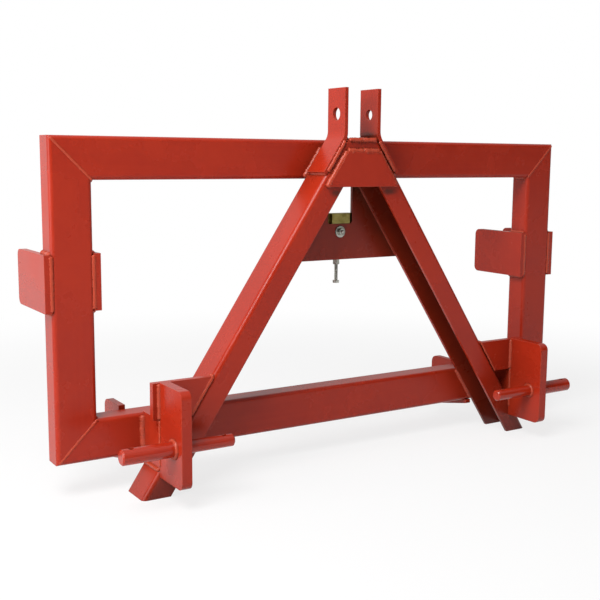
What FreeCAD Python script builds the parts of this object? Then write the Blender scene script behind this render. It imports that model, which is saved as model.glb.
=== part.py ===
import FreeCAD, Part
import math
import os

# Three point quick hitch for a category 1 tractor: a mitred box-tube frame carried by a channel A-frame.
# The tractor side faces -Y and the implement side +Y. +X is to the right seen from the tractor.
# The origin is on the ground, midway across and midway between the foremost and rearmost faces.
# All sizes are in millimetres.

# Rectangular frame of mitred box tube
frame_width = 940.0
frame_tube_face = 60.0
frame_tube_depth = 40.0
frame_tube_wall = 3.0
frame_tube_radius = 6.0

# A-frame legs, channels folded from plate that open inwards, flush against the front of the frame
leg_face = 36.0
leg_depth = 58.0
leg_plate = 5.0
leg_fold_radius = 7.0
leg_foot_inset = 7.0
leg_apex_half_width = 30.5
foot_drop = 51.0
apex_cap_thickness = 4.0
apex_front_thickness = 6.0
apex_front_inset = 13.0
apex_front_top_drop = 17.5
apex_front_height = 53.5

# Top link ears, bent from flat bar, with a large and a small bore
ear_gap = 55.0
ear_thickness = 6.0
ear_width = 46.0
ear_bend_radius = 18.0
ear_top_above_bore = 39.0
bore_above_frame = 38.5
ear_weld_length = 68.0
ear_left_bore = 19.5
ear_right_bore = 16.5
mast_height = 460.0

# Lower link plates and their stepped pins
link_spread = 683.0
link_plate_thickness = 15.0
link_plate_reach = 73.0
link_plate_bottom_drop = 20.0
link_plate_top = 117.0
link_plate_radius = 11.0
link_pin_height = 33.5
link_pin_setback = 26.0
pin_outer_diameter = 22.0
pin_inner_diameter = 18.0
pin_outer_length = 77.0
pin_inner_length = 76.0
pin_chamfer = 2.0
linch_hole_diameter = 8.0
linch_hole_setback = 15.0

# Gusset and spacer that tie each link plate to its leg and to the bottom tube
gusset_thickness = 10.0
gusset_bottom = 63.0
gusset_overhang = 9.5

# Guide plates on both faces of each upright
guide_thickness = 10.0
guide_height = 80.0
guide_bottom = 215.0
guide_reach = 122.0
guide_radius = 10.0

# Bearer plates behind and under the bottom tube, in two pairs
bearer_thickness = 10.0
bearer_inner_offsets = (279.0, 353.0)
bearer_top = 65.0
bearer_reach = 97.0
bearer_front_lip = 6.5
bearer_rear_drop = 27.0
bearer_top_radius = 12.0
bearer_low_radius = 8.0

# Latch plate hanging under the top tube between the legs
latch_plate_thickness = 5.0
latch_plate_height = 128.5
notch_width = 46.0
notch_depth = 71.0
notch_radius = 3.0

# Latch slide: carrier behind the plate, block through the notch, slotted tail below
slide_gap = 0.3
slide_thickness = 8.0
slide_side_lap = 5.0
slide_block_side_gap = 6.0
slide_block_height = 16.0
slide_block_front = 2.5
slide_shoulder_drop = 18.0
slide_tail_width = 22.0
slide_tail_drop = 42.0
slide_travel = 15.0
slide_corner_radius = 4.0

# Clamp bolt through the slide's slot, and the screw that lifts the slide
thread_diameter = 6.0
running_clearance = 0.05
slot_clearance = 0.3
nut_across_flats = 10.0
nut_height = 5.0
bolt_head_height = 4.0
washer_diameter = 18.0
washer_thickness = 1.6
clamp_drop_below_notch = 13.0
clamp_thread_proud = 3.0
screw_length = 50.0
screw_nut_overlap = 2.0
lock_nut_gap = 0.3
hex_chamfer = 0.7

# Places worked out from the sizes above
frame_bottom = foot_drop
front_reach = leg_depth + link_plate_reach
frame_front = (front_reach - guide_reach) / 2.0
frame_back = frame_front + frame_tube_depth
pin_z = frame_bottom + link_pin_height
bore_z = pin_z + mast_height
frame_top = bore_z - bore_above_frame
frame_height = frame_top - frame_bottom
half_width = frame_width / 2.0
leg_foot_half_spread = link_spread / 2.0 - leg_foot_inset
leg_front = frame_front - leg_depth
leg_slope = (leg_foot_half_spread - leg_apex_half_width) / frame_height
leg_angle = math.atan(leg_slope)
leg_sine = math.sin(leg_angle)
leg_cosine = math.cos(leg_angle)
leg_top = frame_top - apex_cap_thickness
pin_y = frame_front - front_reach + link_pin_setback
bore_y = leg_front + ear_width / 2.0
plate_back = frame_front + latch_plate_thickness
latch_plate_top = frame_top - frame_tube_face
latch_plate_bottom = latch_plate_top - latch_plate_height
notch_floor = latch_plate_top - notch_depth
slide_front = plate_back + slide_gap
slide_back = slide_front + slide_thickness
slide_floor = notch_floor + slide_gap
slide_tail_end = slide_floor - slide_tail_drop
clamp_z = notch_floor - clamp_drop_below_notch
screw_y = plate_back + nut_across_flats / 2.0
screw_tip = slide_tail_end - slide_gap
screw_nut_bottom = latch_plate_bottom + screw_nut_overlap - nut_height


def leg_outer_x(z):
    """Half width of the A-frame at height z, measured to the outer faces of the legs."""
    return leg_foot_half_spread - (z - frame_bottom) * leg_slope


def box(x0, x1, y0, y1, z0, z1):
    return Part.makeBox(x1 - x0, y1 - y0, z1 - z0, FreeCAD.Vector(x0, y0, z0))


def plate_facing_y(points, y0, y1):
    """Plate from an outline of (x, z) points, between two planes across Y."""
    corners = [FreeCAD.Vector(x, y0, z) for x, z in points]
    outline = Part.makePolygon(corners + corners[:1])
    return Part.Face(outline).extrude(FreeCAD.Vector(0, y1 - y0, 0))


def plate_facing_x(points, x0, x1):
    """Plate from an outline of (y, z) points, between two planes across X."""
    corners = [FreeCAD.Vector(x0, y, z) for y, z in points]
    outline = Part.makePolygon(corners + corners[:1])
    return Part.Face(outline).extrude(FreeCAD.Vector(x1 - x0, 0, 0))


def plate_facing_z(points, z0, z1):
    """Plate from an outline of (x, y) points, between two levels."""
    corners = [FreeCAD.Vector(x, y, z0) for x, y in points]
    outline = Part.makePolygon(corners + corners[:1])
    return Part.Face(outline).extrude(FreeCAD.Vector(0, 0, z1 - z0))


def round_corners(shape, radius, axis, places):
    """Fillet the edges along axis (0, 1 or 2) that pass near the given places in the other two axes."""
    across = [i for i in range(3) if i != axis]
    chosen = []
    for edge in shape.Edges:
        start, end = edge.Vertexes[0].Point, edge.Vertexes[-1].Point
        along = abs(end[axis] - start[axis])
        if along < 0.99 * edge.Length or edge.Length < radius * 0.1:
            continue
        for place in places:
            if all(abs(start[across[i]] - place[i]) < 0.01 for i in range(2)):
                chosen.append(edge)
    return shape.makeFillet(radius, chosen)


def mirrored(shape):
    """The same piece on the other side of the middle plane."""
    return shape.mirror(FreeCAD.Vector(0, 0, 0), FreeCAD.Vector(1, 0, 0))


def cylinder(radius, length, centre, direction):
    """Cylinder from centre along direction."""
    return Part.makeCylinder(radius, length, FreeCAD.Vector(*centre), FreeCAD.Vector(*direction))


def box_tube(width, depth, radius, wall, length):
    """Box tube standing on the XY plane, centred on Z, with rounded outer and inner corners."""
    def bar(w, d, r):
        blank = box(-w / 2.0, w / 2.0, -d / 2.0, d / 2.0, 0, length)
        places = [(sx * w / 2.0, sy * d / 2.0) for sx in (-1, 1) for sy in (-1, 1)]
        return round_corners(blank, r, 2, places)
    inner_radius = max(radius - wall, radius * 0.2)
    outer = bar(width, depth, radius)
    return outer.cut(bar(width - 2 * wall, depth - 2 * wall, inner_radius))


def level_tube(z_centre, flip):
    """Top or bottom tube of the frame, with both ends mitred at 45 degrees."""
    tube = box_tube(frame_tube_face, frame_tube_depth, frame_tube_radius, frame_tube_wall, frame_width)
    tube.rotate(FreeCAD.Vector(0, 0, 0), FreeCAD.Vector(0, 1, 0), 90)
    tube.translate(FreeCAD.Vector(-half_width, frame_front + frame_tube_depth / 2.0, z_centre))
    long_z = z_centre + flip * frame_tube_face / 2.0
    short_z = z_centre - flip * frame_tube_face / 2.0
    short_x = half_width - frame_tube_face
    outline = [(-half_width, long_z), (half_width, long_z), (short_x, short_z), (-short_x, short_z)]
    return tube.common(plate_facing_y(outline, frame_front, frame_back))


def left_upright():
    """Left upright of the frame, mitred to the top and bottom tubes."""
    tube = box_tube(frame_tube_face, frame_tube_depth, frame_tube_radius, frame_tube_wall, frame_height)
    x_centre = -half_width + frame_tube_face / 2.0
    tube.translate(FreeCAD.Vector(x_centre, frame_front + frame_tube_depth / 2.0, frame_bottom))
    inner_x = -half_width + frame_tube_face
    outline = [
        (-half_width, frame_bottom),
        (inner_x, frame_bottom + frame_tube_face),
        (inner_x, frame_top - frame_tube_face),
        (-half_width, frame_top),
    ]
    return tube.common(plate_facing_y(outline, frame_front, frame_back))


def left_leg():
    """Left leg: leaning channel open inwards, cut level at foot and apex and mitred on the middle plane."""
    spare = 100.0
    length = (leg_top + 2 * spare) / leg_cosine
    outside = box(0, leg_face, 0, leg_depth, -spare, length - spare)
    outside = round_corners(outside, leg_fold_radius, 2, [(0, 0), (0, leg_depth)])
    inside = box(leg_plate, 2 * leg_face, leg_plate, leg_depth - leg_plate, -spare, length - spare)
    inside_radius = max(leg_fold_radius - leg_plate, leg_fold_radius * 0.2)
    inside = round_corners(inside, inside_radius, 2, [(leg_plate, leg_plate), (leg_plate, leg_depth - leg_plate)])
    channel = outside.cut(inside)
    channel.rotate(FreeCAD.Vector(0, 0, 0), FreeCAD.Vector(0, 1, 0), math.degrees(leg_angle))
    channel.translate(FreeCAD.Vector(-leg_outer_x(0), leg_front, 0))
    return channel.common(box(-half_width, 0, leg_front, frame_front, 0, leg_top))


def apex_cap():
    """Small plate that closes the top of both channels between the ears."""
    half = ear_gap / 2.0
    return box(-half, half, leg_front, leg_front + ear_width, leg_top, frame_top)


def apex_front():
    """Trapezium plate over the front of both legs at the apex."""
    top = frame_top - apex_front_top_drop
    bottom = top - apex_front_height
    top_half = leg_outer_x(top) - apex_front_inset
    bottom_half = leg_outer_x(bottom) - apex_front_inset
    outline = [(-bottom_half, bottom), (bottom_half, bottom), (top_half, top), (-top_half, top)]
    return plate_facing_y(outline, leg_front - apex_front_thickness, leg_front)


def left_ear(bore_diameter):
    """Ear on the left leg: flat bar that lies on the leg's outer face, bends upright and is bored."""
    inner = ear_gap / 2.0
    lean_inner_at = frame_bottom + (leg_foot_half_spread - inner) / leg_slope
    outer = inner + ear_thickness
    lean_outer_at = frame_bottom + (leg_foot_half_spread + ear_thickness / leg_cosine - outer) / leg_slope
    top = bore_z + ear_top_above_bore
    down_x = -ear_weld_length * leg_sine
    down_z = -ear_weld_length * leg_cosine
    foot_inner = (-inner + down_x, lean_inner_at + down_z)
    foot_outer = (foot_inner[0] - ear_thickness * leg_cosine, foot_inner[1] + ear_thickness * leg_sine)
    outline = [(-inner, top), (-inner, lean_inner_at), foot_inner, foot_outer, (-outer, lean_outer_at), (-outer, top)]
    ear = plate_facing_y(outline, leg_front, leg_front + ear_width)
    ear = round_corners(ear, ear_bend_radius, 1, [(-inner, lean_inner_at)])
    ear = round_corners(ear, ear_bend_radius + ear_thickness, 1, [(-outer, lean_outer_at)])
    bore = cylinder(bore_diameter / 2.0, 2 * outer, (-2 * outer, bore_y, bore_z), (1, 0, 0))
    return ear.cut(bore)


def left_link_plate():
    """Upright plate ahead of the left leg that holds the stepped lower link pin."""
    front = frame_front - front_reach
    bottom = frame_bottom - link_plate_bottom_drop
    top = frame_bottom + link_plate_top
    outer = -link_spread / 2.0
    inner = outer + link_plate_thickness
    plate = box(outer, inner, front, leg_front, bottom, top)
    plate = round_corners(plate, link_plate_radius, 0, [(front, bottom), (front, top)])
    return plate.cut(cylinder(pin_inner_diameter / 2.0, frame_width, (-frame_width, pin_y, pin_z), (1, 0, 0)))


def left_link_pin():
    """Stepped pin that shoulders on its plate: thick outside, thin inside, cross-bored near both ends."""
    shoulder = -link_spread / 2.0
    outer_end = shoulder - pin_outer_length
    inner_end = shoulder + link_plate_thickness + pin_inner_length
    thick = pin_outer_diameter / 2.0
    thin = pin_inner_diameter / 2.0
    half_section = [
        (outer_end, 0),
        (outer_end, thick - pin_chamfer),
        (outer_end + pin_chamfer, thick),
        (shoulder, thick),
        (shoulder, thin),
        (inner_end - pin_chamfer, thin),
        (inner_end, thin - pin_chamfer),
        (inner_end, 0),
    ]
    corners = [FreeCAD.Vector(x, pin_y, pin_z + r) for x, r in half_section]
    section = Part.Face(Part.makePolygon(corners + corners[:1]))
    pin = section.revolve(FreeCAD.Vector(0, pin_y, pin_z), FreeCAD.Vector(1, 0, 0), 360)
    for x in (outer_end + linch_hole_setback, inner_end - linch_hole_setback):
        below = (x, pin_y, pin_z - pin_outer_diameter)
        pin = pin.cut(cylinder(linch_hole_diameter / 2.0, 2 * pin_outer_diameter, below, (0, 0, 1)))
    return pin


def left_foot_gusset():
    """Plate flush with the leg's front, from the leg's outer face out past the link plate."""
    bottom = frame_bottom + gusset_bottom
    top = frame_bottom + link_plate_top - 1.0
    outer = -link_spread / 2.0 - gusset_overhang
    outline = [(outer, bottom), (-leg_outer_x(bottom), bottom), (-leg_outer_x(top), top), (outer, top)]
    return plate_facing_y(outline, leg_front, leg_front + gusset_thickness)


def left_foot_spacer():
    """Plate in line with the link plate, from the bottom tube forward, scribed to the leg's outer face."""
    outer = -link_spread / 2.0
    inner = outer + link_plate_thickness
    top = frame_bottom + gusset_bottom
    touch_inner = frame_bottom + (leg_foot_half_spread + inner) / leg_slope
    touch_outer = frame_bottom + (leg_foot_half_spread + outer) / leg_slope
    outline = [(outer, touch_outer), (inner, touch_inner), (inner, top), (outer, top)]
    return plate_facing_y(outline, leg_front, frame_front)


def guide_plate(x0):
    """Guide plate on one face of an upright, reaching back past the frame."""
    z0 = frame_bottom + guide_bottom
    z1 = z0 + guide_height
    back = frame_front + guide_reach
    plate = box(x0, x0 + guide_thickness, frame_front, back, z0, z1)
    return round_corners(plate, guide_radius, 0, [(back, z0), (back, z1)])


def bearer_plate(x0):
    """Bearer that grips the rear and underside of the bottom tube and stands out behind it."""
    back = frame_front + bearer_reach
    top = frame_bottom + bearer_top
    low = frame_bottom - bearer_rear_drop
    outline = [
        (frame_back, top),
        (back, top),
        (back, low),
        (frame_front, frame_bottom - bearer_front_lip),
        (frame_front, frame_bottom),
        (frame_back, frame_bottom),
    ]
    plate = plate_facing_x(outline, x0, x0 + bearer_thickness)
    plate = round_corners(plate, bearer_top_radius, 0, [(back, top)])
    return round_corners(plate, bearer_low_radius, 0, [(back, low)])


def latch_plate():
    """Plate behind both legs, hung from the top tube, with a deep notch and the clamp bolt's hole."""
    half_leg = leg_face / leg_cosine / 2.0
    top_half = leg_outer_x(latch_plate_top) - half_leg
    bottom_half = leg_outer_x(latch_plate_bottom) - half_leg
    outline = [
        (-bottom_half, latch_plate_bottom),
        (bottom_half, latch_plate_bottom),
        (top_half, latch_plate_top),
        (-top_half, latch_plate_top),
    ]
    plate = plate_facing_y(outline, frame_front, plate_back)
    half = notch_width / 2.0
    notch = box(-half, half, frame_front, plate_back, notch_floor, latch_plate_top)
    notch = round_corners(notch, notch_radius, 1, [(-half, notch_floor), (half, notch_floor)])
    hole_radius = thread_diameter / 2.0 + slot_clearance
    return plate.cut(notch).cut(cylinder(hole_radius, latch_plate_thickness, (0, frame_front, clamp_z), (0, 1, 0)))


def latch_slide():
    """Slide: a wide carrier behind the plate, a block through the notch and a slotted tail."""
    block_top = slide_floor + slide_block_height
    shoulder = slide_floor - slide_shoulder_drop
    half = notch_width / 2.0 + slide_side_lap
    tail = slide_tail_width / 2.0
    outline = [
        (-half, block_top),
        (-half, shoulder),
        (-tail, shoulder),
        (-tail, slide_tail_end),
        (tail, slide_tail_end),
        (tail, shoulder),
        (half, shoulder),
        (half, block_top),
    ]
    carrier = plate_facing_y(outline, slide_front, slide_back)
    carrier = round_corners(carrier, slide_corner_radius, 1, [(-half, block_top), (half, block_top)])
    block_half = notch_width / 2.0 - slide_block_side_gap
    block_front = frame_front - slide_block_front
    block = box(-block_half, block_half, block_front, slide_back, slide_floor, block_top)
    slot_radius = thread_diameter / 2.0 + slot_clearance
    slot = box(-slot_radius, slot_radius, slide_front, slide_back, clamp_z - slide_travel, clamp_z)
    for z in (clamp_z - slide_travel, clamp_z):
        slot = slot.fuse(cylinder(slot_radius, slide_thickness, (0, slide_front, z), (0, 1, 0)))
    return carrier.fuse(block).cut(slot).removeSplitter()


def hexagon(across_flats, height):
    """Hexagon standing on the XY plane with its corners eased, flats facing Y."""
    corner = across_flats / math.sqrt(3.0)
    points = [(corner * math.cos(math.radians(60 * i)), corner * math.sin(math.radians(60 * i))) for i in range(6)]
    blank = plate_facing_z(points, 0, height)
    round_bar = cylinder(corner, height, (0, 0, 0), (0, 0, 1))
    rims = [edge for edge in round_bar.Edges if edge.Closed]
    return blank.common(round_bar.makeChamfer(hex_chamfer, rims))


def hex_nut():
    """Nut standing on the XY plane, with its bore at the running clearance."""
    bore = cylinder(thread_diameter / 2.0 + running_clearance, nut_height, (0, 0, 0), (0, 0, 1))
    return hexagon(nut_across_flats, nut_height).cut(bore)


def hex_bolt(length):
    """Bolt with its head's bearing face on the XY plane and its shank running up Z."""
    head = hexagon(nut_across_flats, bolt_head_height)
    head.translate(FreeCAD.Vector(0, 0, -bolt_head_height))
    shank = cylinder(thread_diameter / 2.0, length, (0, 0, 0), (0, 0, 1))
    tip = [edge for edge in shank.Edges if edge.Closed and edge.CenterOfMass.z > length / 2.0]
    return head.fuse(shank.makeChamfer(hex_chamfer, tip)).removeSplitter()


def clamp_parts():
    """Bolt from behind through slide and plate, a washer on both sides and the nut in front."""
    grip = slide_back + washer_thickness - frame_front + washer_thickness
    bolt = hex_bolt(grip + nut_height + clamp_thread_proud)
    nut = hex_nut()
    head_y = slide_back + washer_thickness
    nut_y = frame_front - washer_thickness
    for piece, y in ((bolt, head_y), (nut, nut_y)):
        piece.rotate(FreeCAD.Vector(0, 0, 0), FreeCAD.Vector(1, 0, 0), 90)
        piece.translate(FreeCAD.Vector(0, y, clamp_z))
    hole = thread_diameter / 2.0 + running_clearance
    washers = []
    for y in (slide_back, nut_y):
        disc = cylinder(washer_diameter / 2.0, washer_thickness, (0, y, clamp_z), (0, 1, 0))
        washers.append(disc.cut(cylinder(hole, washer_thickness, (0, y, clamp_z), (0, 1, 0))))
    return bolt, washers, nut


def screw_parts():
    """Lifting screw with its head down, its welded nut and the lock nut under that."""
    screw = hex_bolt(screw_length)
    screw.translate(FreeCAD.Vector(0, screw_y, screw_tip - screw_length))
    welded_nut = hex_nut()
    welded_nut.translate(FreeCAD.Vector(0, screw_y, screw_nut_bottom))
    lock_nut = hex_nut()
    lock_nut.translate(FreeCAD.Vector(0, screw_y, screw_nut_bottom - lock_nut_gap - nut_height))
    return screw, welded_nut, lock_nut


def build_nodes():
    """Every node of the hitch, by name."""
    nodes = {
        "frame_top_tube": level_tube(frame_top - frame_tube_face / 2.0, 1),
        "frame_bottom_tube": level_tube(frame_bottom + frame_tube_face / 2.0, -1),
        "apex_cap_plate": apex_cap(),
        "apex_front_plate": apex_front(),
        "latch_plate": latch_plate(),
        "latch_slide": latch_slide(),
        "left_ear": left_ear(ear_left_bore),
        "right_ear": mirrored(left_ear(ear_right_bore)),
    }
    pairs = {
        "upright_tube": left_upright(),
        "leg_channel": left_leg(),
        "link_plate": left_link_plate(),
        "link_pin": left_link_pin(),
        "foot_gusset": left_foot_gusset(),
        "foot_spacer": left_foot_spacer(),
        "outer_guide": guide_plate(-half_width - guide_thickness),
        "inner_guide": guide_plate(-half_width + frame_tube_face),
        "inner_bearer": bearer_plate(-bearer_inner_offsets[0] - bearer_thickness),
        "outer_bearer": bearer_plate(-bearer_inner_offsets[1] - bearer_thickness),
    }
    for name, shape in pairs.items():
        nodes["left_" + name] = shape
        nodes["right_" + name] = mirrored(shape)
    bolt, washers, nut = clamp_parts()
    screw, welded_nut, lock_nut = screw_parts()
    nodes["clamp_bolt"] = bolt
    nodes["clamp_washers"] = Part.makeCompound(washers)
    nodes["clamp_nut"] = nut
    nodes["lift_screw"] = screw
    nodes["screw_nut"] = welded_nut
    nodes["screw_lock_nut"] = lock_nut
    return nodes


os.makedirs("parts", exist_ok=True)
for node_name, node_shape in build_nodes().items():
    node_shape.exportStep("parts/%s.step" % node_name)
    print(node_name, "solids", len(node_shape.Solids), "volume", round(node_shape.Volume, 1))
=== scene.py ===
import math
import random

import bmesh
import bpy
from mathutils import Matrix, Vector


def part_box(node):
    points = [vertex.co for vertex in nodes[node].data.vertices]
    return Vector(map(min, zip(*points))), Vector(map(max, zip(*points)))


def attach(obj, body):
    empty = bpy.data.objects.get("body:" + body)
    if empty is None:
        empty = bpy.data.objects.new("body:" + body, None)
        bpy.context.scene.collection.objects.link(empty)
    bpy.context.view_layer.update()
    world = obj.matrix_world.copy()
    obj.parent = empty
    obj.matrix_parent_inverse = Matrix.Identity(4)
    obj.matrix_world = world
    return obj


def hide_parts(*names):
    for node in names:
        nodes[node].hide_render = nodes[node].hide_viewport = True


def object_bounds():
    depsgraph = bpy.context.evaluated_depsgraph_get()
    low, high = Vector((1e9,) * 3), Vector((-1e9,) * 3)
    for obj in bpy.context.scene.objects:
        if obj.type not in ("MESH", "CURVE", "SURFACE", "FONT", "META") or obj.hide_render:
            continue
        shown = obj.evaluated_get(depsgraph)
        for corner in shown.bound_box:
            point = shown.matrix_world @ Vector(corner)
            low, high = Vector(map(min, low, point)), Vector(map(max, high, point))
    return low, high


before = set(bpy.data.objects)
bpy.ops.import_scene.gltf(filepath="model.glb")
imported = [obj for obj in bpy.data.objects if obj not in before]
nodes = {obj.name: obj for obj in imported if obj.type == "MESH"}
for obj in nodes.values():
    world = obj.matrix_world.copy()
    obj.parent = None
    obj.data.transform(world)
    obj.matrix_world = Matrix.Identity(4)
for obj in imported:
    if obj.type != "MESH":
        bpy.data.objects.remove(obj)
cadBox = [list(corner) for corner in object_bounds()]
mm = 0.001
print("frame loaded,", len(nodes), "steel pieces")

cameraView = {
    "place": (-0.8766, -1.2694, 0.4787),
    "yaw": 32.2,  # degrees to the right of straight back
    "pitch": 8.372,  # degrees down
    "roll": 0.438,
    "lens": 58.11,
}


def aimCamera(view):
    yaw, pitch, roll = (math.radians(view[key]) for key in ("yaw", "pitch", "roll"))
    ahead = Vector((math.sin(yaw) * math.cos(pitch), math.cos(yaw) * math.cos(pitch), -math.sin(pitch)))
    level = Vector((math.cos(yaw), -math.sin(yaw), 0))
    up = level.cross(ahead)
    right = level * math.cos(roll) + up * math.sin(roll)
    top = up * math.cos(roll) - level * math.sin(roll)
    camera = bpy.data.objects.new("camera", bpy.data.cameras.new("camera"))
    bpy.context.scene.collection.objects.link(camera)
    turned = Matrix((right, top, -ahead)).transposed().to_4x4()
    camera.matrix_world = Matrix.Translation(view["place"]) @ turned
    camera.data.lens = view["lens"]
    camera.data.sensor_width = 36.0
    camera.data.clip_start = 0.05
    camera.data.clip_end = 50
    bpy.context.scene.camera = camera


aimCamera(cameraView)

lamps = {
    "skySoftbox": {"place": (-1.3, -0.75, 1.9), "aim": (-0.1, 0.0, 0.25), "size": 1.1, "power": 46.0},
    "leftSoftbox": {"place": (-2.1, -0.1, 0.75), "aim": (0.0, 0.0, 0.25), "size": 1.2, "power": 17.0},
    "frontFill": {"place": (0.9, -2.4, 1.1), "aim": (0.1, 0.0, 0.25), "size": 1.6, "power": 3.0},
}


def hangLamp(name, lamp):
    data = bpy.data.lights.new(name, "AREA")
    data.shape = "SQUARE"
    data.size = lamp["size"]
    data.energy = lamp["power"]
    light = bpy.data.objects.new(name, data)
    bpy.context.scene.collection.objects.link(light)
    light.location = lamp["place"]
    light.rotation_mode = "QUATERNION"
    light.rotation_quaternion = (Vector(lamp["aim"]) - Vector(lamp["place"])).to_track_quat("-Z", "Y")


for lampName, lampValues in lamps.items():
    hangLamp(lampName, lampValues)

bpy.context.scene.view_settings.view_transform = "Standard"


def addNode(tree, kind, **settings):
    node = tree.nodes.new(kind)
    for key, value in settings.items():
        if key in node.inputs:
            node.inputs[key].default_value = value
        else:
            setattr(node, key, value)
    return node


def mathNode(tree, operation, first, second=0.0, clamp=False):
    node = addNode(tree, "ShaderNodeMath", operation=operation, use_clamp=clamp)
    for place, value in ((0, first), (1, second)):
        if isinstance(value, (int, float)):
            node.inputs[place].default_value = value
        else:
            tree.links.new(value, node.inputs[place])
    return node.outputs[0]


def mapRange(tree, value, low, high, toLow=0.0, toHigh=1.0):
    node = addNode(tree, "ShaderNodeMapRange")
    node.interpolation_type = "SMOOTHSTEP"
    for place, number in ((1, low), (2, high), (3, toLow), (4, toHigh)):
        node.inputs[place].default_value = number
    tree.links.new(value, node.inputs[0])
    return node.outputs[0]


def mixColour(tree, share, first, second, blend="MIX"):
    node = addNode(tree, "ShaderNodeMix", data_type="RGBA", blend_type=blend)
    for place, value in ((0, share), (6, first), (7, second)):
        if isinstance(value, (int, float, tuple)):
            node.inputs[place].default_value = value
        else:
            tree.links.new(value, node.inputs[place])
    return node.outputs[2]


studio = {"frontGlow": 0.08, "backGlow": 1.0, "rightGlow": 0.5, "topGlow": 1.0, "roomLight": 0.4}


def buildStudio(values):
    # the room is bright behind and to the left of the hitch and dim where the viewer stands
    world = bpy.data.worlds.new("studioRoom")
    bpy.context.scene.world = world
    world.use_nodes = True
    tree = world.node_tree
    tree.nodes.clear()
    direction = addNode(tree, "ShaderNodeSeparateXYZ")
    tree.links.new(addNode(tree, "ShaderNodeTexCoord").outputs["Generated"], direction.inputs[0])
    behind = mapRange(tree, direction.outputs[1], -0.35, 0.25, values["frontGlow"], values["backGlow"])
    beside = mapRange(tree, direction.outputs[0], -0.1, 0.8, 1.0, values["rightGlow"])
    left = mapRange(tree, direction.outputs[0], -0.95, -0.55, 0.9, 0.0)
    above = mapRange(tree, direction.outputs[2], 0.35, 0.9, 0.0, values["topGlow"])
    glow = mathNode(tree, "MAXIMUM", mathNode(tree, "MULTIPLY", behind, beside), left)
    glow = mathNode(tree, "MAXIMUM", glow, above)
    path = addNode(tree, "ShaderNodeLightPath")
    seen = mathNode(tree, "MAXIMUM", path.outputs["Is Glossy Ray"], path.outputs["Is Transmission Ray"])
    level = mathNode(tree, "MULTIPLY", glow, mapRange(tree, seen, 0.0, 1.0, values["roomLight"], 1.0))
    level = mathNode(tree, "MAXIMUM", level, path.outputs["Is Camera Ray"])
    background = addNode(tree, "ShaderNodeBackground", Color=(1, 1, 1, 1))
    tree.links.new(level, background.inputs["Strength"])
    tree.links.new(background.outputs[0], addNode(tree, "ShaderNodeOutputWorld").inputs["Surface"])


buildStudio(studio)

floorValues = {
    "size": 24.0,
    "paint": (0.84, 0.84, 0.84, 1),
    "glowNear": 0.78,  # how white the floor looks under the hitch
    "glowFar": 1.0,
    "fadeFrom": 0.6,
    "fadeTo": 1.6,
    "drop": 0.2 * mm,  # clear of the feet
}


def buildFloor(values):
    mesh = bmesh.new()
    bmesh.ops.create_grid(mesh, x_segments=1, y_segments=1, size=values["size"] / 2)
    data = bpy.data.meshes.new("floor")
    mesh.to_mesh(data)
    mesh.free()
    data.transform(Matrix.Translation((0, 0, cadBox[0][2] - values["drop"])))
    floor = bpy.data.objects.new("floor", data)
    bpy.context.scene.collection.objects.link(floor)
    material = bpy.data.materials.new("palePaper")
    material.use_nodes = True
    tree = material.node_tree
    tree.nodes.clear()
    where = addNode(tree, "ShaderNodeTexCoord").outputs["Object"]
    distance = addNode(tree, "ShaderNodeVectorMath", operation="LENGTH")
    tree.links.new(where, distance.inputs[0])
    reach = (values["fadeFrom"], values["fadeTo"])
    fade = mapRange(tree, distance.outputs["Value"], *reach, values["glowNear"], values["glowFar"])
    path = addNode(tree, "ShaderNodeLightPath")
    seen = mathNode(tree, "MAXIMUM", path.outputs["Is Camera Ray"], path.outputs["Is Glossy Ray"])
    seen = mathNode(tree, "MAXIMUM", seen, path.outputs["Is Transmission Ray"])
    paper = addNode(tree, "ShaderNodeBsdfDiffuse", Color=values["paint"])
    glow = addNode(tree, "ShaderNodeEmission", Color=(1, 1, 1, 1), Strength=1.0)
    blend = addNode(tree, "ShaderNodeMixShader")
    tree.links.new(mathNode(tree, "MULTIPLY", fade, seen), blend.inputs[0])
    tree.links.new(paper.outputs[0], blend.inputs[1])
    tree.links.new(glow.outputs[0], blend.inputs[2])
    tree.links.new(blend.outputs[0], addNode(tree, "ShaderNodeOutputMaterial").inputs["Surface"])
    data.materials.append(material)


buildFloor(floorValues)
print("camera, lamps and floor placed")


def newGroup(name, inputs, outputs):
    group = bpy.data.node_groups.new(name, "ShaderNodeTree")
    for label, kind, value in inputs:
        socket = group.interface.new_socket(name=label, in_out="INPUT", socket_type="NodeSocket" + kind)
        socket.default_value = value
    for label, kind in outputs:
        group.interface.new_socket(name=label, in_out="OUTPUT", socket_type="NodeSocket" + kind)
    return group, group.nodes.new("NodeGroupInput"), group.nodes.new("NodeGroupOutput")


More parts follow.
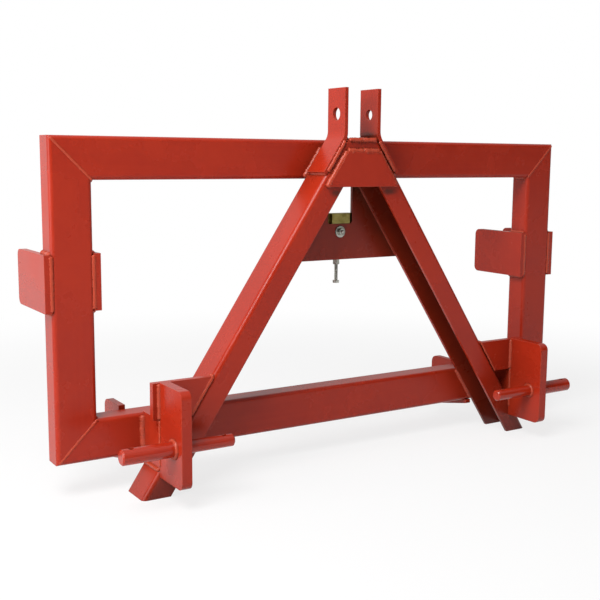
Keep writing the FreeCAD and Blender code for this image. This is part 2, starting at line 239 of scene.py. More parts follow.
def edgeWearAndSheenGroup():
    # rounds the plates' sharp edges and finds where the coat thins over them, where a painted highlight is
    # also laid
    group, given, result = newGroup(
        "edgeWearAndSheen",
        [("Radius", "Float", 0.8 * mm), ("Break Up", "Float", 0.5)],
        [("Mask", "Float"), ("Normal", "Vector")],
    )
    rounded = addNode(group, "ShaderNodeBevel", samples=6)
    group.links.new(given.outputs["Radius"], rounded.inputs["Radius"])
    facing = addNode(group, "ShaderNodeVectorMath", operation="DOT_PRODUCT")
    group.links.new(rounded.outputs[0], facing.inputs[0])
    group.links.new(addNode(group, "ShaderNodeNewGeometry").outputs["Normal"], facing.inputs[1])
    turned = mathNode(group, "SUBTRACT", 1.0, facing.outputs["Value"])
    edge = mapRange(group, turned, 0.01, 0.16)
    where = addNode(group, "ShaderNodeTexCoord").outputs["Object"]
    patches = addNode(group, "ShaderNodeTexNoise", Scale=95.0, Detail=4.0, Roughness=0.6)
    group.links.new(where, patches.inputs["Vector"])
    broken = mapRange(group, patches.outputs["Fac"], 0.35, 0.65)
    keep = mathNode(group, "MULTIPLY", mathNode(group, "SUBTRACT", 1.0, broken), given.outputs["Break Up"])
    mask = mathNode(group, "MULTIPLY", edge, mathNode(group, "SUBTRACT", 1.0, keep), clamp=True)
    group.links.new(mask, result.inputs["Mask"])
    group.links.new(rounded.outputs[0], result.inputs["Normal"])
    return group


def orangePeelGroup():
    # the shallow ripple of a sprayed or baked coat, with a few grains of dust under it
    group, given, result = newGroup(
        "orangePeel",
        [("Grain", "Float", 420.0), ("Wave", "Float", 38.0), ("Dust", "Float", 0.35)],
        [("Height", "Float"), ("Cloud", "Float")],
    )
    where = addNode(group, "ShaderNodeTexCoord").outputs["Object"]
    peel = addNode(group, "ShaderNodeTexNoise", Detail=1.0, Roughness=0.4)
    wave = addNode(group, "ShaderNodeTexNoise", Detail=2.0, Roughness=0.5)
    cloud = addNode(group, "ShaderNodeTexNoise", Scale=7.5, Detail=5.0, Roughness=0.62)
    specks = addNode(group, "ShaderNodeTexVoronoi", Scale=160.0)
    for texture in (peel, wave, cloud, specks):
        group.links.new(where, texture.inputs["Vector"])
    group.links.new(given.outputs["Grain"], peel.inputs["Scale"])
    group.links.new(given.outputs["Wave"], wave.inputs["Scale"])
    speck = mapRange(group, specks.outputs["Distance"], 0.0, 0.11, 1.0, 0.0)
    rare = addNode(group, "ShaderNodeSeparateColor")
    group.links.new(specks.outputs["Color"], rare.inputs[0])
    speck = mathNode(group, "MULTIPLY", speck, mathNode(group, "GREATER_THAN", rare.outputs[0], 0.93))
    speck = mathNode(group, "MULTIPLY", speck, given.outputs["Dust"])
    fine = mathNode(group, "MULTIPLY", peel.outputs["Fac"], 0.35)
    height = mathNode(group, "ADD", fine, wave.outputs["Fac"])
    group.links.new(mathNode(group, "ADD", height, speck), result.inputs["Height"])
    group.links.new(cloud.outputs["Fac"], result.inputs["Cloud"])
    return group


def weldSmudgeGroup():
    # a soft dark smudge round one place, beside a weld
    group, given, result = newGroup(
        "weldSmudge",
        [("Place", "Vector", (0, 0, 0)), ("Reach", "Vector", (0.02, 0.02, 0.02))],
        [("Mask", "Float")],
    )
    where = addNode(group, "ShaderNodeTexCoord").outputs["Object"]
    offset = addNode(group, "ShaderNodeVectorMath", operation="SUBTRACT")
    group.links.new(where, offset.inputs[0])
    group.links.new(given.outputs["Place"], offset.inputs[1])
    shared = addNode(group, "ShaderNodeVectorMath", operation="DIVIDE")
    group.links.new(offset.outputs[0], shared.inputs[0])
    group.links.new(given.outputs["Reach"], shared.inputs[1])
    distance = addNode(group, "ShaderNodeVectorMath", operation="LENGTH")
    group.links.new(shared.outputs[0], distance.inputs[0])
    ragged = addNode(group, "ShaderNodeTexNoise", Scale=140.0, Detail=3.0)
    group.links.new(where, ragged.inputs["Vector"])
    ripple = mathNode(group, "MULTIPLY", ragged.outputs["Fac"], 0.5)
    edge = mathNode(group, "ADD", distance.outputs["Value"], ripple)
    group.links.new(mapRange(group, edge, 0.45, 1.3, 1.0, 0.0), result.inputs["Mask"])
    return group


edgeWearAndSheen = edgeWearAndSheenGroup()
orangePeel = orangePeelGroup()
weldSmudge = weldSmudgeGroup()


def placeGroup(tree, group, **values):
    node = tree.nodes.new("ShaderNodeGroup")
    node.node_tree = group
    for key, value in values.items():
        node.inputs[key].default_value = value
    return node


redCoat = {
    "deep": (0.35, 0.0185, 0.0055, 1),
    "main": (0.41, 0.0255, 0.0075, 1),
    # the edge colour is a thinner coat and a painted highlight along the edges
    "edge": (0.62, 0.12, 0.06, 1),
    # dark colour for the smudges and for painted shade
    "smudgeAndShade": (0.035, 0.016, 0.008, 1),
    "roughness": (0.2, 0.33),
    "hollowReach": 0.09,  # how far off a neighbour still darkens the coat, m
    "smudgeShare": 0.7,
    "streakShare": 0.3,
    "specular": 0.26,
}
coatDefaults = {
    "peelGrain": 420.0,
    "peelDepth": 0.05,
    "edgeRadius": 0.8,  # mm
    "edgeShare": 0.55,
    "lift": 0.0,  # painted highlight, towards the lighter edge colour
    "rolled": None,  # scale of the rolling lines along each axis
    "smudged": False,
    "grime": 0.35,  # painted shade in the hollows
    "stain": 0.0,  # painted shade in the open
    "gloss": 0.0,
}
smudges = {
    "frontPlateLeft": {"Place": (-0.047, -0.0535, 0.425), "Reach": (0.013, 0.01, 0.008)},
    "frontPlateRight": {"Place": (0.053, -0.0535, 0.427), "Reach": (0.017, 0.01, 0.007)},
    "rightEarBend": {"Place": (0.029, -0.03, 0.512), "Reach": (0.012, 0.03, 0.009)},
}


def redPaint(name, **changes):
    values = {**coatDefaults, **changes}
    material = bpy.data.materials.new(name)
    material.use_nodes = True
    tree = material.node_tree
    shader = tree.nodes["Principled BSDF"]
    peel = placeGroup(tree, orangePeel, Grain=values["peelGrain"])
    wearAndSheen = placeGroup(tree, edgeWearAndSheen, Radius=values["edgeRadius"] * mm)
    cloud = mapRange(tree, peel.outputs["Cloud"], 0.3, 0.7)
    colour = mixColour(tree, cloud, redCoat["deep"], redCoat["main"])
    # the edges take the lighter edge colour: a thinner coat there and a painted highlight along them
    thin = mathNode(tree, "MULTIPLY", wearAndSheen.outputs["Mask"], values["edgeShare"])
    colour = mixColour(tree, thin, colour, redCoat["edge"])
    # lifts the whole colour towards the edge colour: a painted highlight
    if values["lift"]:
        colour = mixColour(tree, values["lift"], colour, redCoat["edge"])
    height = peel.outputs["Height"]
    if values["rolled"]:
        where = addNode(tree, "ShaderNodeTexCoord").outputs["Object"]
        stretch = addNode(tree, "ShaderNodeMapping", Scale=values["rolled"])
        tree.links.new(where, stretch.inputs["Vector"])
        lines = addNode(tree, "ShaderNodeTexNoise", Scale=1.0, Detail=3.0, Roughness=0.55)
        tree.links.new(stretch.outputs[0], lines.inputs["Vector"])
        streak = mapRange(tree, lines.outputs["Fac"], 0.42, 0.62)
        streak = mathNode(tree, "MULTIPLY", streak, redCoat["streakShare"])
        colour = mixColour(tree, streak, colour, redCoat["main"])
        height = mathNode(tree, "ADD", height, mathNode(tree, "MULTIPLY", lines.outputs["Fac"], 1.2))
    if values["smudged"]:
        for smudge in smudges.values():
            mark = placeGroup(tree, weldSmudge, **smudge)
            share = mathNode(tree, "MULTIPLY", mark.outputs["Mask"], redCoat["smudgeShare"])
            colour = mixColour(tree, share, colour, redCoat["smudgeAndShade"])
    # painted shade: darkens the coat where the steel is closed in, and by the open share where it is not,
    # standing in for shade deeper than the lamps give
    closed = addNode(tree, "ShaderNodeAmbientOcclusion", samples=8, Distance=redCoat["hollowReach"])
    paintedShade = mapRange(tree, closed.outputs["AO"], 0.3, 0.95, values["grime"], values["stain"])
    colour = mixColour(tree, paintedShade, colour, redCoat["smudgeAndShade"])
    bump = addNode(tree, "ShaderNodeBump", Strength=values["peelDepth"], Distance=1.0 * mm)
    tree.links.new(height, bump.inputs["Height"])
    tree.links.new(wearAndSheen.outputs["Normal"], bump.inputs["Normal"])
    low, high = (rough - values["gloss"] for rough in redCoat["roughness"])
    tree.links.new(colour, shader.inputs["Base Color"])
    roughness = mapRange(tree, peel.outputs["Cloud"], 0.25, 0.75, low, high)
    tree.links.new(roughness, shader.inputs["Roughness"])
    tree.links.new(bump.outputs[0], shader.inputs["Normal"])
    shader.inputs["IOR"].default_value = 1.5
    shader.inputs["Specular IOR Level"].default_value = redCoat["specular"] + values["gloss"]
    return material


levelTubePaint = redPaint("redPaintLevelTube", rolled=(3.0, 160.0, 160.0))
uprightPaint = redPaint("redPaintUpright", rolled=(160.0, 160.0, 3.0))
# painted shade lies deep in the channels' hollows
legPaint = redPaint("redPaintLeg", edgeRadius=1.2, smudged=True, grime=0.62)
platePaint = redPaint("redPaintPlate", edgeRadius=1.0, edgeShare=0.65)
apexPaint = redPaint("redPaintApex", edgeRadius=1.0, edgeShare=0.7, smudged=True)
pinPaint = redPaint(
    "redPaintPin", peelGrain=520.0, peelDepth=0.03, edgeShare=0.8, grime=0.1, gloss=0.13
)
# the latch plate's coat is darkened with painted shade, in its hollows and in the open alike
latchPaint = redPaint("redPaintLatch", edgeRadius=1.0, grime=0.95, stain=0.3)
# the welds' lighter colour is a painted highlight on their ripples
weldPaint = redPaint(
    "redPaintWeld", peelGrain=300.0, peelDepth=0.12, edgeRadius=0.4, edgeShare=0.8, lift=0.35, grime=0.5
)


def zinc(name, colours, roughness, brushed):
    material = bpy.data.materials.new(name)
    material.use_nodes = True
    tree = material.node_tree
    shader = tree.nodes["Principled BSDF"]
    where = addNode(tree, "ShaderNodeTexCoord").outputs["Object"]
    wearAndSheen = placeGroup(tree, edgeWearAndSheen, Radius=0.35 * mm)
    tint = addNode(tree, "ShaderNodeTexNoise", Scale=60.0, Detail=3.0, Roughness=0.6)
    spangle = addNode(tree, "ShaderNodeTexNoise", Scale=900.0, Detail=2.0)
    stretch = addNode(tree, "ShaderNodeMapping", Scale=brushed)
    scratch = addNode(tree, "ShaderNodeTexNoise", Scale=1.0, Detail=2.0)
    tree.links.new(where, tint.inputs["Vector"])
    tree.links.new(where, spangle.inputs["Vector"])
    tree.links.new(where, stretch.inputs["Vector"])
    tree.links.new(stretch.outputs[0], scratch.inputs["Vector"])
    cloud = mapRange(tree, tint.outputs["Fac"], 0.38, 0.62)
    colour = mixColour(tree, cloud, colours["dark"], colours["light"])
    worn = mathNode(tree, "MULTIPLY", wearAndSheen.outputs["Mask"], 0.6)
    colour = mixColour(tree, worn, colour, colours["edge"])
    rough = mapRange(tree, scratch.outputs["Fac"], 0.35, 0.65, roughness[0], roughness[1])
    grain = mathNode(tree, "MULTIPLY", spangle.outputs["Fac"], 0.5)
    height = mathNode(tree, "ADD", scratch.outputs["Fac"], grain)
    bump = addNode(tree, "ShaderNodeBump", Strength=0.12, Distance=0.4 * mm)
    tree.links.new(height, bump.inputs["Height"])
    tree.links.new(wearAndSheen.outputs["Normal"], bump.inputs["Normal"])
    tree.links.new(colour, shader.inputs["Base Color"])
    tree.links.new(rough, shader.inputs["Roughness"])
    tree.links.new(bump.outputs[0], shader.inputs["Normal"])
    shader.inputs["Metallic"].default_value = 1.0
    return material


brightZinc = zinc(
    "brightZinc",
    {"dark": (0.27, 0.27, 0.23, 1), "light": (0.5, 0.5, 0.45, 1), "edge": (0.78, 0.78, 0.74, 1)},
    (0.25, 0.45),
    (500.0, 500.0, 60.0),
)
yellowZinc = zinc(
    "yellowZinc",
    {"dark": (0.23, 0.18, 0.05, 1), "light": (0.36, 0.3, 0.1, 1), "edge": (0.55, 0.48, 0.24, 1)},
    (0.35, 0.6),
    (70.0, 600.0, 600.0),
)

finishes = {
    "frame_top_tube": levelTubePaint,
    "frame_bottom_tube": levelTubePaint,
    "upright_tube": uprightPaint,
    "leg_channel": legPaint,
    "link_pin": pinPaint,
    "ear": apexPaint,
    "apex_cap_plate": apexPaint,
    "apex_front_plate": apexPaint,
    "latch_slide": yellowZinc,
    "latch_plate": latchPaint,
    "clamp_bolt": brightZinc,
    "clamp_washers": brightZinc,
    "clamp_nut": brightZinc,
    "lift_screw": brightZinc,
    "screw_nut": brightZinc,
    "screw_lock_nut": brightZinc,
}


def finishFor(nodeName):
    for ending, finish in finishes.items():
        if nodeName.endswith(ending):
            return finish
    return platePaint


for nodeName, piece in nodes.items():
    piece.data.materials.clear()
    piece.data.materials.append(finishFor(nodeName))
print("coats and zinc laid on")

bead = {
    "pitch": 4.2 * mm,  # length of two scales
    "ripple": 0.24,
    "wander": 0.13,
    "sides": 10,
    "fullness": 1.3,
    "endShare": 0.5,  # thickness left at either end
    "ringSteps": 48,
    "ringSides": 8,
    "ringWander": 0.1,
}


def layBead(mesh, start, end, facing, width, height, chance):
    # a closed rod cut into rings, each ring swollen or pinched like the scales of a weld
    run = end - start
    rings = max(4, 2 * round(run.length / bead["pitch"]))
    rod = bmesh.new()
    bmesh.ops.create_cone(rod, cap_ends=True, segments=bead["sides"], radius1=1, radius2=1, depth=2)
    sides = [edge for edge in rod.edges if abs(edge.verts[0].co.z - edge.verts[1].co.z) > 1]
    bmesh.ops.subdivide_edges(rod, edges=sides, cuts=rings - 1, use_grid_fill=True)
    swell = [
        1 + bead["ripple"] * (ring % 2 - 0.5) + chance.uniform(-1, 1) * bead["wander"]
        for ring in range(rings + 1)
    ]
    swell[0] = swell[-1] = bead["endShare"]
    drift = [chance.uniform(-1, 1) * bead["wander"] for ring in range(rings + 1)]
    for vert in rod.verts:
        ring = round((vert.co.z + 1) / 2 * rings)
        vert.co.x = vert.co.x * swell[ring] + drift[ring]
        vert.co.y *= swell[ring]
    along = run.normalized()
    across = along.cross(facing).normalized()
    outward = across.cross(along)
    full = bead["fullness"]
    place = Matrix((across * width * full / 2, outward * height * full, run / 2)).transposed().to_4x4()
    bmesh.ops.transform(rod, matrix=Matrix.Translation((start + end) / 2) @ place, verts=rod.verts)
    joinTo(mesh, rod)


def joinTo(mesh, part):
    bmesh.ops.recalc_face_normals(part, faces=part.faces)
    data = bpy.data.meshes.new("weldPart")
    part.to_mesh(data)
    part.free()
    mesh.from_mesh(data)
    bpy.data.meshes.remove(data)


def ringBead(mesh, centre, radius, thickness, chance):
    # a weld that runs right round a pin
    steps = bead["ringSteps"]
    ring = bmesh.new()
    rim = Matrix.Translation((0, 0, radius))
    section = bmesh.ops.create_circle(ring, segments=bead["ringSides"], radius=thickness, matrix=rim)
    upright = Matrix.Rotation(math.pi / 2, 3, "X")
    bmesh.ops.rotate(ring, verts=section["verts"], cent=(0, 0, radius), matrix=upright)
    bmesh.ops.spin(
        ring,
        geom=section["verts"] + ring.edges[:],
        cent=(0, 0, 0),
        axis=(1, 0, 0),
        angle=2 * math.pi,
        steps=steps,
        use_merge=True,
    )
    bmesh.ops.remove_doubles(ring, verts=ring.verts, dist=0.01 * mm)
    wander = bead["ringWander"]
    scales = [
        chance.uniform(-wander, wander) + bead["ripple"] * (step % 2 - 0.5) for step in range(steps + 1)
    ]
    for vert in ring.verts:
        turn = round((math.atan2(vert.co.y, vert.co.z) / (2 * math.pi) % 1) * steps)
        outward = Vector((0, vert.co.y, vert.co.z)).normalized()
        middle = outward * radius
        vert.co = middle + (vert.co - middle) * (1 + scales[turn % steps])
    bmesh.ops.translate(ring, verts=ring.verts, vec=centre)
    joinTo(mesh, ring)


def finishPiece(mesh, name, body, material, smooth=True):
    for face in mesh.faces:
        face.smooth = smooth
    data = bpy.data.meshes.new(name)
    mesh.to_mesh(data)
    mesh.free()
    piece = bpy.data.objects.new(name, data)
    bpy.context.scene.collection.objects.link(piece)
    data.materials.append(material)
    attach(piece, body)
    return piece


def mirrorX(point):
    return Vector((-point[0], point[1], point[2]))


# a weld line is its start, its end, the way it faces, and its width and height in mm
def weldBothSides(name, lines, chance):
    mesh = bmesh.new()
    for start, end, facing, (width, height) in lines:
        for flip in (Vector, mirrorX):
            outward = flip(facing).normalized()
            layBead(mesh, flip(start), flip(end), outward, width * mm, height * mm, chance)
    finishPiece(mesh, name, "hitch", weldPaint)


def standing(x, y, bottom, top):
    return Vector((x, y, bottom)), Vector((x, y, top))


def lyingBack(x, z, near, far):
    return Vector((x, near, z)), Vector((x, far, z))


chance = random.Random(7)

# the frame's four mitres, front, back and inner corner
front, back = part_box("frame_top_tube")[0].y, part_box("frame_top_tube")[1].y
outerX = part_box("frame_top_tube")[0].x
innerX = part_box("left_upright_tube")[1].x
topZ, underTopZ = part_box("frame_top_tube")[1].z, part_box("frame_top_tube")[0].z
lowZ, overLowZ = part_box("frame_bottom_tube")[0].z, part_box("frame_bottom_tube")[1].z
mitre = {"seam": (3.0, 0.55), "corner": (6.0, 2.4), "inset": 3.0 * mm}


def mitreLines(values):
    lines = []
    inset = values["inset"]
    for outZ, inZ, up in ((topZ, underTopZ, -1), (lowZ, overLowZ, 1)):
        for y, facing in ((front, (0, -1, 0)), (back, (0, 1, 0))):
            start = Vector((outerX + inset, y, outZ + up * inset))
            lines.append((start, Vector((innerX, y, inZ)), facing, values["seam"]))
        corner = lyingBack(innerX, inZ, front + 2 * inset, back - 2 * inset)
        lines.append((*corner, (1, 0, up), values["corner"]))
    return lines


weldBothSides("mitreWelds", mitreLines(mitre), chance)

# guide plates: along top, underside and front on the upright, and inside the corner at the back
guide = {
    "level": (6.0, 2.6),
    "front": (4.5, 1.1),
    "back": (6.5, 2.6),
    "nearGap": 4 * mm,  # clear of the upright's front
    "farGap": 2 * mm,  # clear of its back
    "endGap": 2 * mm,  # clear of the plate's top and underside
    "sunk": 0.6 * mm,  # depth of the front bead's middle
}


def guideLines(values):
    lines = []
    for nodeName, x, outward in (("left_outer_guide", outerX, -1), ("left_inner_guide", innerX, 1)):
        low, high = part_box(nodeName)
        bottom, top = low.z + values["endGap"], high.z - values["endGap"]
        for z, up in ((high.z, 1), (low.z, -1)):
            level = lyingBack(x, z, front + values["nearGap"], back - values["farGap"])
            lines.append((*level, (outward, 0, up), values["level"]))
        lines.append((*standing(x, front + values["sunk"], bottom, top), (0, -1, 0), values["front"]))
        lines.append((*standing(x, back, bottom, top), (-outward, 1, 0), values["back"]))
    return lines


weldBothSides("guideWelds", guideLines(guide), chance)

# legs: where the channels cross the two level tubes and the latch plate
legLow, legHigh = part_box("left_leg_channel")
legFront, legBack, legTop = legLow.y, legHigh.y, legHigh.z
leg = {
    "crossing": (6.5, 2.4),
    "plateEdge": (2.2, 0.5),
    "plateBack": (5.0, 2.0),
    "hanger": (5.5, 2.2),
    "lowGap": 3 * mm,  # clear of a tube's underside
    "highGap": 2 * mm,  # clear of an upper edge
    "topGap": 12 * mm,  # clear of the top tube's upper edge
    "plateGap": 1 * mm,
    "backShare": 0.98,  # of the latch plate's height
    "hangerInset": 3 * mm,
    "notchEdge": 24 * mm,  # where the hanger ends, from the middle
}


def legEdge(z, inner=False):
    # x of the left leg's outer or inner edge at a height, from its level cuts at foot and apex
    corners = nodes["left_leg_channel"].data.vertices
    footCut = [vert.co.x for vert in corners if vert.co.z < 0.1 * mm]
    apexCut = [vert.co.x for vert in corners if vert.co.z > legTop - 0.1 * mm]
    slope = (min(apexCut) - min(footCut)) / legTop
    return (max(footCut) if inner else min(footCut)) + slope * z


leanLeft = Vector((legEdge(legTop) - legEdge(0), 0, legTop)).normalized()
legSide = Vector((-leanLeft.z, 0, leanLeft.x))


def legPoint(z, y, inner=False, lift=0.0):
    return Vector((legEdge(z, inner), y, z)) + legSide * (-lift if inner else lift)


def legRun(low, high, y, inner=False):
    return legPoint(low, y, inner), legPoint(high, y, inner)


def legMiddle(z):
    return (legEdge(z) + legEdge(z, True)) / 2


def legLines(values):
    lines = []
    forward = Vector((0, -1, 0))
    lowGap, highGap = values["lowGap"], values["highGap"]
    for inner, side in ((False, legSide), (True, -legSide)):
        crossing = legRun(lowZ + lowGap, overLowZ - highGap, legBack, inner)
        lines.append((*crossing, side + forward, values["crossing"]))
        crossing = legRun(underTopZ + lowGap, topZ - values["topGap"], legBack, inner)
        lines.append((*crossing, side + forward, values["crossing"]))
    plateLow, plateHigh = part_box("latch_plate")
    edge = legRun(plateLow.z + highGap, plateHigh.z - highGap, legBack, True)
    lines.append((*edge, forward - legSide, values["plateEdge"]))
    start = Vector((legMiddle(plateLow.z), legBack, plateLow.z + values["plateGap"]))
    rise = Vector((legEdge(plateHigh.z) - legEdge(plateLow.z), 0, plateHigh.z - plateLow.z))
    lines.append((start, start + rise * values["backShare"], (-1, 1, 0), values["plateBack"]))
    start = Vector((legMiddle(plateHigh.z) + values["hangerInset"], plateHigh.y, plateHigh.z))
    end = Vector((-values["notchEdge"], plateHigh.y, plateHigh.z))
    lines.append((start, end, (0, 1, -1), values["hanger"]))
    return lines


weldBothSides("legWelds", legLines(leg), chance)

# apex: trapezium plate on the legs, ears on the legs' outer faces, cap between the ears
apex = {
    "plateSide": (7.0, 3.4),
    "plateTop": (8.0, 3.7),
    "ear": (4.8, 1.7),
    "earFoot": (6.0, 2.2),
    "cap": (5.5, 2.2),
    "capSide": (5.5, 2.8),
    "plateStep": 1.2 * mm,  # how far the plate's beads stand in front of the legs
    "overlap": 0.5 * mm,  # past the middle, where the two halves meet
    "gap": 2 * mm,  # clear of the edges
    "earGap": 4 * mm,  # clear of the ear's foot
    "earLift": 0.2 * mm,
    "footRise": 1.5 * mm,
    "footLift": 0.5 * mm,
    "earLean": 0.2,
}


def apexLines(values):
    lines = []
    gap, overlap = values["gap"], values["overlap"]
    plateLow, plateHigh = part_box("apex_front_plate")
    rise = legEdge(plateHigh.z) - legEdge(plateLow.z)
    bottom = Vector((plateLow.x, legFront - values["plateStep"], plateLow.z))
    top = Vector((plateLow.x + rise, bottom.y, plateHigh.z))
    lines.append((bottom, top, (legSide.x, -1, legSide.z), values["plateSide"]))
    lines.append((top, Vector((overlap, top.y, top.z)), (0, -1, 1), values["plateTop"]))
    earLow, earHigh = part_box("left_ear")
    capLow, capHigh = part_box("apex_cap_plate")
    lean = legSide * values["earLean"]
    for y, out in ((earLow.y, -1), (earHigh.y, 1)):
        start = legPoint(earLow.z + values["earGap"], y, lift=values["earLift"])
        end = legPoint(capHigh.z - gap, y, lift=values["earLift"])
        lines.append((start, end, (lean.x, out, lean.z), values["ear"]))
    end = legPoint(earLow.z + values["footRise"], 0, lift=values["footLift"])
    earFoot = lyingBack(end.x, end.z, earLow.y + gap, earHigh.y - gap)
    lines.append((*earFoot, legSide - leanLeft, values["earFoot"]))
    for y, out in ((capLow.y, -1), (capHigh.y, 1)):
        start = Vector((capLow.x + gap, y, capHigh.z))
        lines.append((start, Vector((overlap, y, capHigh.z)), (0, out, 1), values["cap"]))
    capSide = lyingBack(capLow.x, capHigh.z, capLow.y + gap, capHigh.y - gap)
    lines.append((*capSide, (1, 0, 1), values["capSide"]))
    return lines


weldBothSides("apexWelds", apexLines(apex), chance)

# feet: link plate, gusset and spacer
foot = {
    "bead": (6.0, 2.5),
    "plateLow": (4.0, 1.1),
    "seam": (3.6, 0.9),
    "gussetTop": (5.0, 1.9),
    "spacerBack": (9.5, 4.0),
    "spacerTop": (3.5, 0.8),
    "spacerLeg": (5.5, 2.1),
    "plateGap": 1 * mm,
    "plateRise": 6 * mm,
    "gap": 3 * mm,  # clear of the edges
    "innerBead": 25 * mm,  # length of the spacer's bead inside, from the tube's top
    "topNear": 12 * mm,
    "topFar": 20 * mm,
    "topSunk": 0.5 * mm,
    "seamLean": 0.3,
}


def footLines(values):
    lines = []
    gap = values["gap"]
    plateLow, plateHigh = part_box("left_link_plate")
    gussetLow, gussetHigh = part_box("left_foot_gusset")
    spacerLow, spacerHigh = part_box("left_foot_spacer")
    spacerSides = ((spacerLow.x, -1), (spacerHigh.x, 1))
    for x, side in ((plateLow.x, -1), (plateHigh.x, 1)):
        seam = standing(x, legFront, gussetLow.z + values["plateGap"], gussetHigh.z - values["plateGap"])
        lines.append((*seam, (side, -1, 0), values["bead"]))
        seam = standing(x, legFront, spacerLow.z + values["plateRise"], gussetLow.z)
        lines.append((*seam, (side, 0, 0), values["plateLow"]))
    start, end = legRun(gussetLow.z, gussetHigh.z, legFront)
    lines.append((start, end, (values["seamLean"] * legSide.x, -1, 0), values["seam"]))
    depth = Vector((0, gussetHigh.y - gussetLow.y, 0))
    lines.append((start + depth, end + depth, (legSide.x, 1, legSide.z), values["bead"]))
    lines.append((end + depth * 0.1, end + depth * 0.9, (legSide.x, 0, 1), values["gussetTop"]))
    top = spacerHigh.z - values["topSunk"]
    for x, side in spacerSides:
        bottom = max(spacerLow.z, lowZ) + gap
        if side > 0:
            bottom = overLowZ - values["innerBead"]
        seam = standing(x, legBack, bottom, min(spacerHigh.z, overLowZ) - gap)
        lines.append((*seam, (side, -1, 0), values["spacerBack"]))
        seam = lyingBack(x, top, gussetLow.y + values["topNear"], gussetHigh.y + values["topFar"])
        lines.append((*seam, (side, 0, 1), values["spacerTop"]))
    for x, side in spacerSides:
        z = (x - legEdge(0)) / (legEdge(1) - legEdge(0))
        seam = lyingBack(x, z, legFront + gap, legBack - gap)
        lines.append((*seam, legSide + Vector((side, 0, 0)), values["spacerLeg"]))
    return lines


weldBothSides("footWelds", footLines(foot), chance)

# bearers on the back and underside of the bottom tube
bearer = {"bead": (6.0, 2.4), "endGap": 5 * mm, "nearGap": 7 * mm, "farGap": 4 * mm}


def bearerLines(values):
    lines = []
    for nodeName in ("left_inner_bearer", "left_outer_bearer"):
        low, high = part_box(nodeName)
        for x, side in ((low.x, -1), (high.x, 1)):
            seam = standing(x, back, lowZ + values["endGap"], overLowZ - values["endGap"])
            lines.append((*seam, (side, 1, 0), values["bead"]))
            seam = lyingBack(x, lowZ, front + values["nearGap"], back - values["farGap"])
            lines.append((*seam, (side, 0, -1), values["bead"]))
    return lines


weldBothSides("bearerWelds", bearerLines(bearer), chance)

pinWeld = {"outer": 3.6 * mm, "inner": 3.2 * mm}


def buildPinWelds(values):
    mesh = bmesh.new()
    pinLow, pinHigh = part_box("left_link_pin")
    plateLow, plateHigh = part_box("left_link_plate")
    middle = (pinLow + pinHigh) / 2
    thick = (pinHigh.y - pinLow.y) / 2
    innerPart = [vert.co.z for vert in nodes["left_link_pin"].data.vertices if vert.co.x > plateHigh.x]
    thin = max(innerPart) - middle.z
    for x, radius, size in ((plateLow.x, thick, values["outer"]), (plateHigh.x, thin, values["inner"])):
        for flip in (Vector, mirrorX):
            ringBead(mesh, flip((x, middle.y, middle.z)), radius, size, chance)
    finishPiece(mesh, "pinWelds", "hitch", weldPaint)


buildPinWelds(pinWeld)
print("welds laid")

fastener = {
    "pitch": 1.0 * mm,
    "depth": 0.55 * mm,
    "segments": 18,
    "coreShare": 0.9,  # how deep the closed core reaches into the thread
    "radius": 3.0 * mm,
    "headHeight": 4.0 * mm,
    "tipBevel": 0.6 * mm,
    "headBevel": 0.45 * mm,
}


def cylinder(mesh, radius, segments, bottom, top):
    solid = bmesh.ops.create_cone(
        mesh, cap_ends=True, segments=segments, radius1=radius, radius2=radius, depth=top - bottom
    )
    return solid["verts"]


def bevelRim(mesh, verts, inRim, offset):
    rim = [edge for edge in mesh.edges if all(vert in verts and inRim(vert.co.z) for vert in edge.verts)]
    bmesh.ops.bevel(
        mesh, geom=rim, offset=offset, segments=2, affect="EDGES", profile=0.5, material=-1
    )


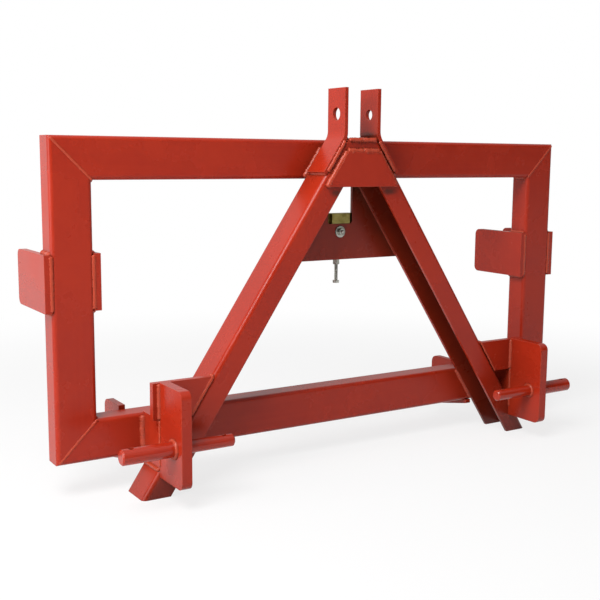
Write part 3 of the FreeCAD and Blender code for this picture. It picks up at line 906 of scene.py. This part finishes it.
def threadedRod(mesh, values, length):
    # one turn of the thread's profile, spun up the rod as a helix round a closed core
    radius, pitch, depth = values["radius"], values["pitch"], values["depth"]
    segments = values["segments"]
    turns = int(length / pitch) - 1
    root = mesh.verts.new((radius - depth, 0, 0))
    crest = mesh.verts.new((radius, 0, pitch / 2))
    upper = mesh.verts.new((radius - depth, 0, pitch))
    profile = [root, crest, upper, mesh.edges.new((root, crest)), mesh.edges.new((crest, upper))]
    bmesh.ops.spin(
        mesh,
        geom=profile,
        cent=(0, 0, 0),
        axis=(0, 0, 1),
        dvec=(0, 0, pitch / segments),
        angle=2 * math.pi * turns,
        steps=segments * turns,
        use_merge=False,
    )
    bmesh.ops.remove_doubles(mesh, verts=mesh.verts, dist=0.002 * mm)
    core = cylinder(mesh, radius - depth * values["coreShare"], segments, 0, length)
    bmesh.ops.translate(mesh, verts=core, vec=(0, 0, length / 2))
    bevelRim(mesh, core, lambda z: z > length - 0.01 * mm, values["tipBevel"])


def hexHead(mesh, values, acrossFlats):
    height = values["headHeight"]
    head = cylinder(mesh, acrossFlats / math.sqrt(3), 6, -height, 0)
    bmesh.ops.rotate(mesh, verts=head, cent=(0, 0, 0), matrix=Matrix.Rotation(math.pi / 6, 3, "Z"))
    bmesh.ops.translate(mesh, verts=head, vec=(0, 0, -height / 2))
    bevelRim(mesh, head, lambda z: z < 0.01 * mm - height, values["headBevel"])


def buildBolt(nodeName, name, axis, body, values):
    # built standing on its head's bearing face, then turned to the CAD bolt's line
    low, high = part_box(nodeName)
    length = high[axis] - low[axis]
    flats = min(high[i] - low[i] for i in range(3) if i != axis)
    height = values["headHeight"]
    mesh = bmesh.new()
    hexHead(mesh, values, flats)
    threadedRod(mesh, values, length - height)
    base = (low + high) / 2
    if axis == 1:
        turned = Matrix.Rotation(math.pi / 2, 3, "X")
        bmesh.ops.rotate(mesh, verts=mesh.verts, cent=(0, 0, 0), matrix=turned)
        base.y = high.y - height
    else:
        base.z = low.z + height
    bmesh.ops.translate(mesh, verts=mesh.verts, vec=base)
    bmesh.ops.recalc_face_normals(mesh, faces=mesh.faces)
    piece = finishPiece(mesh, name, body, brightZinc, smooth=False)
    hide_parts(nodeName)


buildBolt("clamp_bolt", "clampBolt", 1, "hitch", fastener)
buildBolt("lift_screw", "liftScrew", 2, "lift_screw", fastener)
print("bolts threaded")
